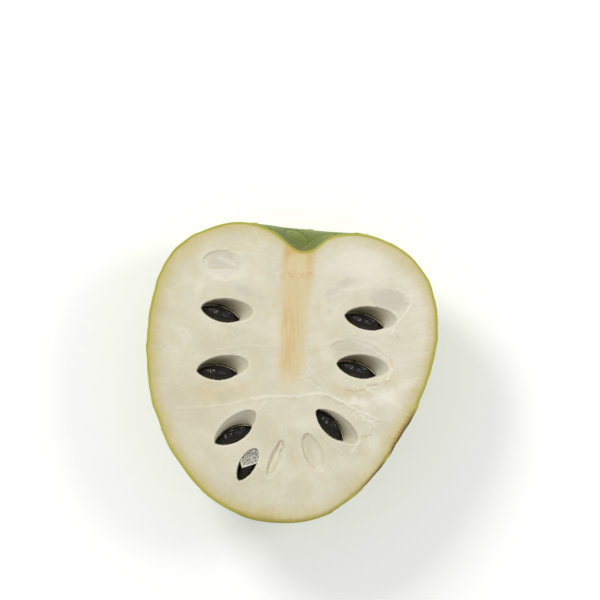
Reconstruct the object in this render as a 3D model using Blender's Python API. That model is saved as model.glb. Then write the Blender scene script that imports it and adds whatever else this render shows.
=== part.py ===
"""Half a custard apple, cut lengthwise through its core and lying on its rounded back.

The cut face is level and looks up (+Z). +Y runs along the core towards the stem end, and +X
towards the lower of the two shoulders. The skin, flesh and core grew as one piece, so they are
one solid, the half fruit. Its seven seeds are loose in their pockets, and each is its own solid.
Every piece is modelled with the cut face at z = 0, and one empty lifts them all so that the
flat spot on the back is at z = 0 and the middle of the footprint is the origin.
"""

import math
from typing import NamedTuple

import bmesh
import bpy
import numpy as np
from mathutils import Matrix, Vector

MM = 0.001

# The rim of the cut face, in mm, from the bottom of the stem notch round both sides to the tip.
# The points pair up: the n-th on the right and the n-th on the left are the ends of one ring.
NOTCH = (4.9, 45.8)
RIGHT_RIM = [
    (9.9, 47.3), (16.3, 51.5), (28.1, 52.4), (40.7, 47.7), (50.5, 38.8), (55.3, 27.4),
    (56.1, 12.9), (51.4, -6.8), (43.4, -22.6), (31.6, -40.2), (15.2, -53.5),
]
LEFT_RIM = [
    (-0.4, 48.5), (-7.6, 54.3), (-20.1, 57.2), (-34.2, 53.6), (-45.6, 44.8), (-51.9, 30.8),
    (-54.7, 10.6), (-52.8, -9.8), (-46.4, -27.4), (-35.3, -43.3), (-20.1, -54.0),
]
TIP = (-2.3, -57.4)

BACK_ROUNDNESS = 0.97    # depth of the back, as a share of half the width of each ring
FLAT_SPOT_DEPTH = 2.4    # mm of the roundest part of the back that is pressed flat
SPHERE_SEGMENTS = 96     # round the core; the cut keeps half of them
SPHERE_RINGS = 56        # from the stem end to the tip
ON_CUT = 1e-4            # a unit sphere's vertex this close to its middle plane is on the cut

# The overlapping plates of the skin.
PLATE_ROWS = 12
FIRST_ROW, LAST_ROW = 14.0, 152.0   # mm along the skin from the stem notch
PLATE_WIDTH = 22.0       # mm, the usual distance from one plate to the next in a row
FEWEST_PLATES = 5        # round the whole fruit, in the rows near its ends
PLATE_OVERLAP = 1.16     # width of a plate over its share of the row
PLATE_RISE = 2.0         # mm that a plate's free edge stands over the one below it
PLATE_EDGE = 0.2         # share of a plate over which its free edge falls away
RISE_AT_CUT = 0.4        # share of that rise beside the cut face

SEED_HALF = Vector((7.6, 2.8, 4.4))   # mm: half its length, thickness and width
SEED_TOP_BELOW_CUT = 0.9              # mm
SEED_POINT = 0.72                     # over 0.5 makes the ends more pointed than an ellipse's
SOCKET_GAP = Vector((0.35, 0.35, 0.35))   # mm between a seed and the flesh that holds it
HOLLOW_POINT = 0.58


class Hollow(NamedTuple):
    """An open bowl in the cut face. Lengths are in mm."""
    half: tuple        # half its length, width and depth
    shift: tuple       # from the seed's middle, along and across the seed
    turn: float        # degrees from the seed's direction


WIDE = Hollow((10.1, 4.7, 6.2), (2.2, 2.1), 12.0)
CLOSE = Hollow((7.2, 3.3, 5.0), (0.2, 0.2), 0.0)

# Each seed: its middle on the cut face (mm), the way it points (degrees from +X), its size as a
# share of the usual one, and the hollow that opens over it.
SEEDS = {
    "seed_upper_left": ((-26.6, 22.2), -18.0, 1.0, WIDE),
    "seed_middle_left": ((-27.9, -0.1), -4.0, 1.0, WIDE),
    "seed_lower_left": ((-21.6, -24.0), 24.0, 1.0, WIDE),
    "seed_lowest": ((-16.2, -35.5), 60.0, 0.86, CLOSE),
    "seed_upper_right": ((28.1, 19.2), -18.0, 1.0, WIDE),
    "seed_middle_right": ((25.0, 0.9), -18.0, 1.0, WIDE),
    "seed_lower_right": ((15.0, -20.3), -50.0, 1.0, WIDE),
}

# The recesses with no seed: middle on the cut face, half sizes (mm) and angle (degrees).
EMPTY_POCKETS = {
    "slot_by_tip": ((-4.9, -33.1), (7.6, 2.6, 2.6), 70.0),
    "scoop_by_tip": ((8.9, -30.2), (8.0, 3.9, 2.4), -64.0),
    "dish_upper_left": ((-25.1, 41.0), (8.6, 5.2, 1.3), -16.0),
    "dish_middle_right": ((27.0, 4.2), (12.6, 7.2, 1.1), -24.0),
}


def spline_through(points, at):
    """A closed cubic spline through the points, read at the fractional indices in at. The slopes
    solve the usual cyclic system that makes the curvature run on from span to span."""
    points = np.array(points, float)
    count = len(points)
    index = np.arange(count)
    system = np.zeros((count, count))
    system[index, index] = 4
    system[index, (index + 1) % count] = 1
    system[index, index - 1] = 1
    slopes = np.linalg.solve(system, 3 * (np.roll(points, -1, 0) - np.roll(points, 1, 0)))
    whole = np.floor(at)
    start = whole.astype(int) % count
    end = (start + 1) % count
    f = (at - whole)[..., None]
    return (
        points[start] * (1 + 2 * f) * (1 - f) ** 2
        + points[end] * f * f * (3 - 2 * f)
        + slopes[start] * f * (1 - f) ** 2
        - slopes[end] * f * f * (1 - f)
    )


def rim(at):
    """Right and left points of the cut face's rim at station at, from 0 (notch) to 12 (tip)."""
    loop = [NOTCH, *RIGHT_RIM, TIP, *LEFT_RIM[::-1]]
    return spline_through(loop, at), spline_through(loop, len(loop) - at)


def plate_table(lengths, radii):
    """One row of numbers for each plate of the skin: its distance along the skin, its angle round
    the core, half its width and its length. Rows near the ends hold fewer and smaller plates, and
    each row is turned half a plate from the last, as roof tiles are."""
    rng = np.random.default_rng(7)
    plates = []
    turn = 0.0
    for along in np.linspace(FIRST_ROW, LAST_ROW, PLATE_ROWS):
        radius = np.interp(along, lengths, radii)
        count = max(FEWEST_PLATES, round(2 * math.pi * radius / PLATE_WIDTH))
        pitch = 2 * math.pi / count
        half_width = PLATE_OVERLAP * pitch * radius / 2
        turn += pitch / 2
        for n in range(count):
            plates.append((
                along + rng.uniform(-1.6, 1.6),
                turn + pitch * (n + rng.uniform(-0.12, 0.12)),
                half_width * rng.uniform(0.93, 1.07),
                min(15.0, 4.0 + 1.1 * half_width),
            ))
    return plates


def plate_height(along, angle, radius, plates):
    """Height of the skin's relief, as a share of the plates' rise. A plate rises from its root to
    its rounded free edge, which points at the tip, and the highest plate at each place shows."""
    height = np.zeros_like(along)
    for plate_along, plate_angle, half_width, length in plates:
        ahead = along - plate_along
        turn = np.angle(np.exp(1j * (angle - plate_angle)))
        inside = 1 - np.hypot(np.clip(ahead, 0, None) / length, radius * turn / half_width)
        rise = np.clip((ahead + length) / (2 * length), 0, 1)
        height = np.maximum(height, rise * np.clip(inside / PLATE_EDGE, 0, 1))
    return height


def material(name, colour, roughness):
    made = bpy.data.materials.new(name)
    made.use_nodes = True
    shader = made.node_tree.nodes["Principled BSDF"]
    shader.inputs["Base Color"].default_value = (*colour, 1)
    shader.inputs["Roughness"].default_value = roughness
    shader.inputs["Metallic"].default_value = 0.0
    return made


def fruit_mesh():
    """A UV sphere whose poles become the stem notch and the tip. Each ring of it becomes a round
    section that spans the rim from side to side, and the sphere's angle runs round that section."""
    bm = bmesh.new()
    bmesh.ops.create_uvsphere(
        bm, u_segments=SPHERE_SEGMENTS, v_segments=SPHERE_RINGS, radius=1.0
    )
    sphere = np.array([v.co for v in bm.verts])
    share = np.arccos(np.clip(sphere[:, 2], -1, 1)) / math.pi
    angle = np.arctan2(sphere[:, 1], sphere[:, 0])
    # Rings stand at even distances along the skin, so that the faces stay close to square.
    stations = np.linspace(0, len(RIGHT_RIM) + 1, 400)
    right, left = rim(stations)
    steps = np.linalg.norm(np.diff((right + left) / 2, axis=0), axis=1)
    radii = np.linalg.norm(right - left, axis=1) / 2
    lengths = np.concatenate([[0], np.cumsum(np.hypot(steps, np.diff(radii)))])
    station = np.interp(share * lengths[-1], lengths, stations)
    along = np.interp(station, stations, lengths)
    right, left = rim(station)
    radius = np.linalg.norm(right - left, axis=1) / 2
    places = np.zeros((len(sphere), 3))
    places[:, :2] = (right + left) / 2 + (right - left) / 2 * np.cos(angle)[:, None]
    places[:, 2] = BACK_ROUNDNESS * radius * np.sin(angle)
    # The relief is lowest beside the cut face, and dies out at the stem and the tip.
    below_cut = np.clip(-np.sin(angle) / 0.35, 0, 1)
    from_ends = np.clip(np.sin(share * math.pi) / 0.4, 0, 1)
    rise = PLATE_RISE * from_ends * (RISE_AT_CUT + (1 - RISE_AT_CUT) * below_cut)
    relief = rise * (plate_height(along, angle, radius, plate_table(lengths, radii)) - 0.5)
    for vert, place in zip(bm.verts, places, strict=True):
        vert.co = Vector(place)
    bm.normal_update()
    for vert, height in zip(bm.verts, relief, strict=True):
        vert.co += vert.normal * float(height)
    lowest = min(v.co.z for v in bm.verts)
    for vert in bm.verts:
        vert.co.z = max(vert.co.z, lowest + FLAT_SPOT_DEPTH)
    cut_open(bm, sphere[:, 1])
    bmesh.ops.scale(bm, verts=bm.verts[:], vec=(MM, MM, MM))
    mesh = bpy.data.meshes.new("half_fruit")
    bm.to_mesh(mesh)
    bm.free()
    return mesh


def cut_open(bm, heights):
    """Takes away the upper half, lays its edge on z = 0 and closes it with one flat face.
    heights says which side of the cut each vertex of the sphere began on."""
    upper = []
    for vert, height in zip(bm.verts, heights, strict=True):
        if height > ON_CUT:
            upper.append(vert)
        elif height > -ON_CUT:
            vert.co.z = 0
    bmesh.ops.delete(bm, geom=upper, context="VERTS")
    bmesh.ops.edgeloop_fill(bm, edges=[e for e in bm.edges if e.is_boundary])
    bmesh.ops.recalc_face_normals(bm, faces=bm.faces[:])


def lens_mesh(name, half, point):
    """A sphere stretched to half sizes along X, Y and Z in mm, with its two X ends drawn in."""
    bm = bmesh.new()
    bmesh.ops.create_uvsphere(bm, u_segments=18, v_segments=12, radius=1.0)
    bmesh.ops.rotate(bm, verts=bm.verts[:], matrix=Matrix.Rotation(math.pi / 2, 3, "Y"))
    for vert in bm.verts:
        x, y, z = vert.co
        narrow = max(1 - x * x, 0.0) ** (point - 0.5)
        vert.co = Vector((x * half[0], y * half[1] * narrow, z * half[2] * narrow)) * MM
    mesh = bpy.data.meshes.new(name)
    bm.to_mesh(mesh)
    bm.free()
    return mesh


def place_lens(name, mesh, parent, collection, place, degrees):
    """Adds the lens at place (mm, with the cut face at z = 0), turned about the vertical."""
    lens = bpy.data.objects.new(name, mesh)
    collection.objects.link(lens)
    lens.parent = parent
    lens.location = Vector(place) * MM
    lens.rotation_euler.z = math.radians(degrees)
    return lens


def cut_lens(body, name, half, point, cutters, place, degrees):
    """Takes a lens away from the body."""
    mesh = lens_mesh(name, half, point)
    cutter = place_lens(name, mesh, body.parent, cutters, place, degrees)
    cutter.hide_render = True
    cutter.display_type = "WIRE"
    modifier = body.modifiers.new(name, "BOOLEAN")
    modifier.operation = "DIFFERENCE"
    modifier.object = cutter


def add_seeds(body, parts, cutters):
    """The loose seeds, each in a close socket with a wider hollow over it, open to the cut."""
    coat = material("seed", (0.02, 0.015, 0.012), 0.3)
    for name, (middle, degrees, size, hollow) in SEEDS.items():
        half = SEED_HALF * size
        place = (*middle, -SEED_TOP_BELOW_CUT - half.z)
        mesh = lens_mesh(name, half, SEED_POINT)
        mesh.shade_smooth()
        mesh.materials.append(coat)
        place_lens(name, mesh, body.parent, parts, place, degrees)
        socket = half + SOCKET_GAP
        cut_lens(body, name + "_socket", socket, SEED_POINT, cutters, place, degrees)
        shift = Matrix.Rotation(math.radians(degrees), 2) @ Vector(hollow.shift)
        centre = (*(Vector(middle) + shift), 0)
        angle = degrees + hollow.turn
        cut_lens(body, name + "_hollow", hollow.half, HOLLOW_POINT, cutters, centre, angle)


def add_fruit(fruit, parts):
    """The half fruit, and the height and middle that bring it onto its flat spot at the origin."""
    mesh = fruit_mesh()
    mesh.materials.append(material("flesh", (0.76, 0.70, 0.53), 0.45))
    corners = np.array([v.co for v in mesh.vertices])
    middle = (corners.min(0) + corners.max(0)) / 2
    fruit.location = (-middle[0], -middle[1], -corners[:, 2].min())
    body = bpy.data.objects.new("half_fruit", mesh)
    parts.objects.link(body)
    body.parent = fruit
    return body


def main():
    for obj in list(bpy.data.objects):
        bpy.data.objects.remove(obj)
    parts = bpy.data.collections.new("custard_apple_half")
    cutters = bpy.data.collections.new("cutters")
    bpy.context.scene.collection.children.link(parts)
    bpy.context.scene.collection.children.link(cutters)
    fruit = bpy.data.objects.new("custard_apple", None)
    parts.objects.link(fruit)
    body = add_fruit(fruit, parts)
    add_seeds(body, parts, cutters)
    for name, (middle, half, degrees) in EMPTY_POCKETS.items():
        cut_lens(body, name, half, HOLLOW_POINT, cutters, (*middle, 0), degrees)


main()
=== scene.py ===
"""The looks of half a custard apple that lies on its back with its cut face up.

Every surface is drawn in millimetres with the cut face at z = 0, and is then moved onto the
frame. +Y runs along the core to the stem notch, and +X to the lower of the two shoulders.
"""

import math
from typing import NamedTuple

import bmesh
import bpy
import numpy as np
from bpy.props import FloatProperty, FloatVectorProperty, IntProperty, PointerProperty
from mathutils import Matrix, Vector


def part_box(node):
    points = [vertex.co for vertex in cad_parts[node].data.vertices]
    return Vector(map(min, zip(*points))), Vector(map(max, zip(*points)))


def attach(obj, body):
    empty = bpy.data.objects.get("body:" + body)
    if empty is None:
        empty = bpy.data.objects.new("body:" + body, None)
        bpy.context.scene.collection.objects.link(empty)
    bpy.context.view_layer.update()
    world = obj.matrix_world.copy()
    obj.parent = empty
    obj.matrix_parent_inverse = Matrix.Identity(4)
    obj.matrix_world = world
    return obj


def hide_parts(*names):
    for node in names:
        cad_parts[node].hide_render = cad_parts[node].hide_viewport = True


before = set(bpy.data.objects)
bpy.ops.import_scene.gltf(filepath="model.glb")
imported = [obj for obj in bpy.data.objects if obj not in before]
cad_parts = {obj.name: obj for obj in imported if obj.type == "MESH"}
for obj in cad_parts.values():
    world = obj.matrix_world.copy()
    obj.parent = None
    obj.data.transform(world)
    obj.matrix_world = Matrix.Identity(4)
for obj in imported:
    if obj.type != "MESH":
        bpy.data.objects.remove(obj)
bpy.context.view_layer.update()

bl_info = {
    "name": "Custard Apple Half",
    "version": (1, 0, 0),
    "blender": (4, 5, 0),
    "location": "View3D > Sidebar > Custard Apple",
    "description": "Flesh, skin and seeds of half a custard apple, and the studio it lies in",
    "category": "Add Mesh",
}

MM = 0.001

# The rim of the cut face, from the bottom of the stem notch round both sides to the tip. The
# n-th points on the right and on the left are the two ends of one ring of the back.
NOTCH = (4.9, 45.8)
RIGHT_RIM = [
    (9.9, 47.3), (16.3, 51.5), (28.1, 52.4), (40.7, 47.7), (50.5, 38.8), (55.3, 27.4),
    (56.1, 12.9), (51.4, -6.8), (43.4, -22.6), (31.6, -40.2), (15.2, -53.5),
]
LEFT_RIM = [
    (-0.4, 48.5), (-7.6, 54.3), (-20.1, 57.2), (-34.2, 53.6), (-45.6, 44.8), (-51.9, 30.8),
    (-54.7, 10.6), (-52.8, -9.8), (-46.4, -27.4), (-35.3, -43.3), (-20.1, -54.0),
]
TIP = (-2.3, -57.4)
BACK_ROUNDNESS = 0.97
FACE_MIDDLE = np.array([1.5, 0.0])  # the cut face is drawn outwards from here
SKIN_MIDDLE = np.array([0.5, 0.0])  # the hidden inner side of the skin shrinks to here
CORE_END = np.array([-0.2, -9.0])    # where the core fades out
CORE_TOP = np.array([3.6, 46.0])

SEED_HALF = np.array([7.6, 2.8, 4.4])
SEED_POINT = 0.72        # over 0.5 makes the ends of a seed more pointed than an ellipse's
SEED_SQUARENESS = 2.3    # the power of a seed's oval section, which is 2 for an ellipse
SEED_TOP_BELOW_CUT = 0.9


class Seed(NamedTuple):
    """A seed's middle on the cut face, the way it points in degrees, and its size."""
    middle: tuple
    degrees: float
    size: float


SEEDS = {
    "seed_upper_left": Seed((-26.6, 22.2), -18.0, 1.0),
    "seed_middle_left": Seed((-27.9, -0.1), -4.0, 1.0),
    "seed_lower_left": Seed((-21.6, -24.0), 24.0, 1.0),
    "seed_lowest": Seed((-16.2, -35.5), 60.0, 0.86),
    "seed_upper_right": Seed((28.1, 19.2), -18.0, 1.0),
    "seed_middle_right": Seed((25.0, 0.9), -18.0, 1.0),
    "seed_lower_right": Seed((15.0, -20.3), -50.0, 1.0),
}


class Pocket(NamedTuple):
    """A hollow in the cut face. Its wall is an oval bowl, depth * (1 - r * r) ** power, where r
    runs from 0 in the middle to 1 at the edge and the power goes from near to far along it. It
    is deeper by lean towards its ends, along and across."""
    middle: tuple
    half: tuple
    degrees: float
    depth: float
    near: float
    far: float
    lean: tuple = (0.0, 0.0)


def beside(seed, offset, turn, half, depth, powers, lean):
    """A pocket whose middle is offset along and across from a seed's, and turned from it."""
    angle = math.radians(seed.degrees)
    x = seed.middle[0] + offset[0] * math.cos(angle) - offset[1] * math.sin(angle)
    y = seed.middle[1] + offset[0] * math.sin(angle) + offset[1] * math.cos(angle)
    return Pocket((x, y), half, seed.degrees + turn, depth, *powers, lean)


BIG = ((2.2, 2.2), 12.0, (10.1, 4.5), 5.2, (0.4, 0.8), (-0.5, -0.1))
SEED_POCKETS = [
    beside(SEEDS["seed_upper_left"], *BIG),
    beside(SEEDS["seed_middle_left"], *BIG),
    beside(SEEDS["seed_lower_left"], (1.9, 2.4), 13.0, (9.8, 4.4), 3.3, (0.6, 0.7), (0.05, -0.5)),
    beside(SEEDS["seed_lowest"], (0.2, 0.2), 0.0, (7.0, 3.2), 4.4, (0.4, 0.5), (0.0, 0.0)),
    beside(SEEDS["seed_upper_right"], *BIG),
    beside(SEEDS["seed_middle_right"], *BIG),
    beside(SEEDS["seed_lower_right"], (2.0, 2.0), 13.0, (9.9, 4.3), 3.6, (0.5, 0.8), (-0.1, -0.4)),
]
BARE_POCKETS = [
    Pocket((-5.5, -33.2), (7.7, 2.5), 68.0, 0.8, 0.5, 0.6, (0.2, 0.3)),
    Pocket((8.9, -30.4), (7.9, 3.7), -66.0, 1.5, 0.45, 0.9, (0.0, -0.45)),
]
DISHES = [
    Pocket((-25.0, 40.6), (8.6, 5.6), -14.0, 1.1, 0.45, 0.9, (-0.3, 0.2)),
    Pocket((26.8, 4.6), (12.4, 7.0), -24.0, 0.9, 0.4, 0.5),
    Pocket((37.0, 27.2), (9.4, 4.9), -14.0, 0.25, 0.8, 0.6),
    Pocket((-23.6, -9.4), (5.6, 3.4), 8.0, 0.15, 0.8, 0.8),
]


def rgb(red, green, blue):
    """A colour given as screen values from 0 to 255, as the linear numbers that shaders use."""
    share = np.array([red, green, blue]) / 255
    return tuple(np.where(share < 0.04045, share / 12.92, ((share + 0.055) / 1.055) ** 2.4))


# ---------------------------------------------------------------- shapes, as whole arrays

def spline_through(points, at):
    """A closed cubic spline through the points, read at the fractional indices in at. The slopes
    solve the usual cyclic system that makes the curvature run on from span to span."""
    points = np.array(points, float)
    count = len(points)
    index = np.arange(count)
    system = np.zeros((count, count))
    system[index, index] = 4
    system[index, (index + 1) % count] = 1
    system[index, index - 1] = 1
    slopes = np.linalg.solve(system, 3 * (np.roll(points, -1, 0) - np.roll(points, 1, 0)))
    whole = np.floor(at)
    start = whole.astype(int) % count
    end = (start + 1) % count
    f = (at - whole)[..., None]
    return (
        points[start] * (1 + 2 * f) * (1 - f) ** 2
        + points[end] * f * f * (3 - 2 * f)
        + slopes[start] * f * (1 - f) ** 2
        - slopes[end] * f * f * (1 - f)
    )


def rim(at):
    """Right and left points of the rim at station at, from 0 (notch) to 12 (tip)."""
    loop = [NOTCH, *RIGHT_RIM, TIP, *LEFT_RIM[::-1]]
    return spline_through(loop, at), spline_through(loop, len(loop) - at)


def smooth(low, high, value):
    """Rises from 0 at low to 1 at high with level ends."""
    t = np.clip((value - low) / (high - low), 0, 1)
    return t * t * (3 - 2 * t)


def waves(points, shortest, longest, count, seed):
    """Gentle unevenness from -1 to 1: a mean of sine waves of random direction, whose lengths
    lie between shortest and longest."""
    rng = np.random.default_rng(seed)
    total = np.zeros(points.shape[:-1])
    for _ in range(count):
        direction = rng.normal(size=points.shape[-1])
        direction *= 2 * math.pi / rng.uniform(shortest, longest) / np.linalg.norm(direction)
        total += np.sin(points @ direction + rng.uniform(0, 2 * math.pi))
    return total / math.sqrt(count)


def turned_into(points, middle, degrees):
    """The points' first two coordinates, measured along and across a line at degrees."""
    x = points[..., 0] - middle[0]
    y = points[..., 1] - middle[1]
    cosine, sine = math.cos(math.radians(degrees)), math.sin(math.radians(degrees))
    return x * cosine + y * sine, y * cosine - x * sine


def grid_faces(rows, columns):
    """Quads between the neighbours of a rows by columns grid of vertices, numbered by rows."""
    first = (np.arange(rows - 1)[:, None] * columns + np.arange(columns - 1)).ravel()
    return np.stack([first, first + 1, first + columns + 1, first + columns], axis=1)


def strip_faces(upper, lower):
    """Quads between two closed loops of vertex numbers."""
    upper_next, lower_next = np.roll(upper, -1), np.roll(lower, -1)
    return np.stack([upper, lower, lower_next, upper_next], axis=1)


def fan_faces(loop, middle):
    """Triangles from a closed loop of vertex numbers to one vertex."""
    return np.stack([loop, np.full(len(loop), middle), np.roll(loop, -1)], axis=1)


def level_ring(loop, height):
    """The 2-D loop as points at one height."""
    return np.c_[loop, np.full(len(loop), height)]


def closed_by(top, loop, rings, middle):
    """Closes an open surface: a wall goes from its loop of vertex numbers through each ring of
    points in turn, and a floor from the last ring to the middle. Returns points and faces."""
    faces, last = [], loop
    for n in range(len(rings)):
        ring = len(top) + n * len(loop) + np.arange(len(loop))
        faces.append(strip_faces(last, ring))
        last = ring
    faces.append(fan_faces(last, len(top) + len(rings) * len(loop)))
    return np.concatenate([top, *rings, [middle]]), faces


def with_seed(points, seed):
    """A shape drawn along X round the origin, turned and moved to where the seed lies."""
    turn = math.radians(seed.degrees)
    spin = np.array([[math.cos(turn), -math.sin(turn)], [math.sin(turn), math.cos(turn)]])
    moved = points.reshape(-1, 3).copy()
    moved[:, :2] = moved[:, :2] @ spin.T + seed.middle
    return moved


# ---------------------------------------------------------------- shaders

class Number:
    """An output socket that can be used in sums, which add Math nodes."""

    def __init__(self, finish, socket):
        self.finish = finish
        self.socket = socket

    def _math(self, operation, *values):
        return self.finish.node("ShaderNodeMath", {"operation": operation}, enumerate(values))

    def __add__(self, other):
        return self._math("ADD", self, other)

    def __sub__(self, other):
        return self._math("SUBTRACT", self, other)

    def __rsub__(self, other):
        return self._math("SUBTRACT", other, self)

    def __mul__(self, other):
        return self._math("MULTIPLY", self, other)

    def at_most(self, other):
        return self._math("MINIMUM", self, other)

    def at_least(self, other):
        return self._math("MAXIMUM", self, other)

    __radd__ = __add__
    __rmul__ = __mul__

    def between(self, low, high):
        """0 at low and below, 1 at high and above, with level ends."""
        settings = {"interpolation_type": "SMOOTHSTEP"}
        values = {"Value": self, "From Min": low, "From Max": high}
        if low > high:
            values.update({"From Min": high, "From Max": low, "To Min": 1.0, "To Max": 0.0})
        return self.finish.node("ShaderNodeMapRange", settings, values.items())


class Finish:
    """A material under construction round its Principled shader."""

    def __init__(self, name, **constants):
        self.material = bpy.data.materials.new(name)
        self.material.use_nodes = True
        self.nodes = self.material.node_tree.nodes
        self.links = self.material.node_tree.links
        self.shader = self.nodes["Principled BSDF"]
        for socket, value in constants.items():
            self.shader.inputs[socket.replace("_", " ")].default_value = value

    def node(self, kind, settings, values, output=0):
        """Adds a node, makes its settings, and then gives its sockets their values or links."""
        made = self.nodes.new(kind)
        for name, value in settings.items():
            setattr(made, name, value)
        for name, value in values:
            if isinstance(value, Number):
                self.links.new(value.socket, made.inputs[name])
            else:
                made.inputs[name].default_value = value
        return Number(self, made.outputs[output])

    def attribute(self, name, output="Fac"):
        return self.node("ShaderNodeAttribute", {"attribute_name": name}, (), output)

    def place(self):
        return self.node("ShaderNodeTexCoord", {}, (), "Object")

    def noise(self, vector, scale, detail=3.0, roughness=0.5, output="Fac"):
        values = {"Vector": vector, "Scale": scale, "Detail": detail, "Roughness": roughness}
        return self.node("ShaderNodeTexNoise", {}, values.items(), output)

    def mix(self, factor, first, second, blend="MIX"):
        """A blend of two colours. In this node the colours are sockets 6 and 7, and output 2."""
        settings = {"data_type": "RGBA", "blend_type": blend}
        values = [(0, factor)]
        for socket, colour in ((6, first), (7, second)):
            values.append((socket, colour if isinstance(colour, Number) else (*colour, 1.0)))
        return self.node("ShaderNodeMix", settings, values, 2)

    def set(self, socket, value):
        self.links.new(value.socket, self.shader.inputs[socket])

    def bump(self, height, distance, strength=1.0):
        values = {"Height": height, "Distance": distance, "Strength": strength}
        self.set("Normal", self.node("ShaderNodeBump", {}, values.items()))


# ---------------------------------------------------------------- pieces

def shift():
    """From the drawing to the frame, in mm: one seed is at the same place in both."""
    low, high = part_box("seed_middle_left")
    drawn = SEEDS["seed_middle_left"].middle
    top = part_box("half_fruit")[1].z
    middle = (low + high) / 2 / MM
    return np.array([middle.x - drawn[0], middle.y - drawn[1], top / MM])


def add_piece(name, points, faces, finish, stands_for, attributes=None):
    """A smooth mesh piece from points in the drawing's mm. Its attributes are one number or
    vector for each point."""
    mesh = bpy.data.meshes.new(name)
    mesh.from_pydata((points + shift()) * MM, [], [f for group in faces for f in group.tolist()])
    for key, values in (attributes or {}).items():
        kind, field = ("FLOAT", "value") if values.ndim == 1 else ("FLOAT_VECTOR", "vector")
        layer = mesh.attributes.new(key, kind, "POINT")
        layer.data.foreach_set(field, np.ascontiguousarray(values, np.float32).ravel())
    mesh.shade_smooth()
    mesh.materials.append(finish)
    piece = bpy.data.objects.new(name, mesh)
    bpy.context.scene.collection.objects.link(piece)
    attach(piece, "root")
    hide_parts(*stands_for)
    return piece


# ---- skin

class Plate(NamedTuple):
    """A plate's middle along the skin and round the core, its half width and its free length."""
    along: float
    angle: float
    half_width: float
    length: float


PLATE_OVERLAP = 1.14     # a plate's width over the distance to the next one
PLATE_EDGE = 1.3         # mm over which a plate's edge is rounded


class Relief(NamedTuple):
    """What the plates of the skin do at each point of a grid."""
    height: np.ndarray     # share of the plates' rise
    lip: np.ndarray        # mm inside the plate's edge, or less than 0 just outside another's
    near: np.ndarray       # 1 beside an edge, else 0
    under: np.ndarray      # mm outside the nearest plate that overlaps this one
    tip: np.ndarray        # mm from the middle of the plate's free end
    tone: np.ndarray       # a random number for each plate


def plate_list(lengths, radii, settings):
    """The plates in rows from the tip to the notch. Each row is turned half a plate from the
    next, as roof tiles are, and each plate is a little out of its place."""
    rng = np.random.default_rng(17)
    plates = []
    turn = 0.0
    rows = np.linspace(settings.first_row / MM, settings.last_row / MM, settings.plate_rows)
    for along in rows:
        radius = np.interp(along, lengths, radii)
        count = max(5, round(2 * math.pi * radius / (settings.plate_width / MM)))
        pitch = 2 * math.pi / count
        half_width = PLATE_OVERLAP * pitch * radius / 2
        turn += pitch / 2
        row = []
        for n in range(count):
            size = rng.uniform(0.9, 1.1)
            row.append(Plate(
                along + rng.uniform(-2.0, 2.0),
                turn + pitch * (n + rng.uniform(-0.13, 0.13)),
                half_width * size,
                float(np.clip(5.0 + 1.1 * half_width * size, 8.0, 17.5)),
            ))
        rng.shuffle(row)
        plates = row + plates
    return plates


def plate_relief(along, angle, radius, plates):
    """Each plate is a tongue: straight sides, and a half-oval free end towards the tip. It rises
    from its root to that end. Plates are laid from the tip to the notch, so each row lies over
    the roots of the one before, and every edge comes down to the plate below in a quarter
    round PLATE_EDGE wide."""
    rng = np.random.default_rng(11)
    shape = along.shape
    height, edge = np.full(shape, 0.2), np.full(shape, 9.0)
    under, tip, tone = np.full(shape, 9.0), np.full(shape, 9.0), np.full(shape, 0.5)
    for plate in plates:
        ahead = along - plate.along
        side = radius * np.angle(np.exp(1j * (angle - plate.angle)))
        u, v = ahead / plate.length, side / plate.half_width
        inside = (1 - np.hypot(np.clip(u, 0, None), v)) * plate.half_width
        inside = np.minimum(inside, (u + 1.7) * plate.length)
        lean = rng.uniform(-0.12, 0.12)
        rise = 0.2 + 0.8 * np.clip((u + 1) / 2, 0, 1) + lean * v + 0.08 * (1 - v * v)
        lip = np.sqrt(np.clip(1 - (1 - np.clip(inside / PLATE_EDGE, 0, 1)) ** 2, 0, 1))
        height += (rise - height) * lip
        on = inside > 0
        under = np.where(on, 9.0, np.minimum(under, -inside))
        edge = np.where(on, inside, edge)
        tone = np.where(on, rng.uniform(), tone)
        offset = rng.uniform(-0.3, 0.3) * plate.half_width
        tip = np.where(on, np.hypot(ahead - 0.74 * plate.length, side - offset), tip)
    near = (under < 0.55) | ((under > 1.6) & (edge < PLATE_EDGE))
    lip = np.where(under < 0.8, -under, edge)
    under = np.where(edge < 0.8, np.minimum(under, edge), under)
    return Relief(height, lip, near.astype(float), under, tip, tone)


class Back(NamedTuple):
    """The skin's outer surface as a grid from the stem notch to the tip and from left to right."""
    points: np.ndarray
    relief: Relief
    along: np.ndarray


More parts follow.
